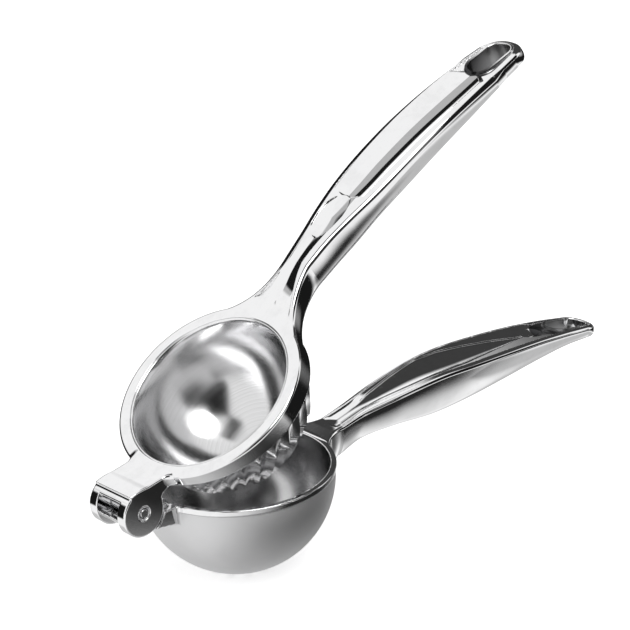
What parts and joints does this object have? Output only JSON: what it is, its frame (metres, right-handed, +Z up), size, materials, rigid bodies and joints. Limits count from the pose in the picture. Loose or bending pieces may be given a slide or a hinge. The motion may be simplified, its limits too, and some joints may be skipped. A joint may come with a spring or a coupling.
{
  "type": "hinged lemon squeezer",
  "caption": "Hinged hand squeezer for citrus halves: a pierced bowl and a fluted press cup on long handles, joined by a hinge pin at the bowl's edge.",
  "frame": {"origin": "centre of the small flat face under the bowl, which the squeezer stands on", "axes": "+X from the bowl toward the handle tips, +Y along the hinge pin, +Z up out of the bowl"},
  "size_m": [0.229, 0.0688, 0.1509],
  "materials": {
    "cast_metal": "polished",
    "cup_metal": "polished, faint turning marks inside",
    "pin_metal": "satin"
  },
  "bodies": {
    "bowl_side": {"bowl_arm": "cast_metal"},
    "press_side": {"press_arm": "cast_metal", "press_cup": "cup_metal", "hinge_pin": "pin_metal"}
  },
  "joints": [
    {"name": "hinge", "type": "hinge", "parent": "bowl_side", "child": "press_side", "pos_m": [-0.0472, 0, 0.03907], "axis": [0, -1, 0], "range_deg": [-29, 75]}
  ]
}
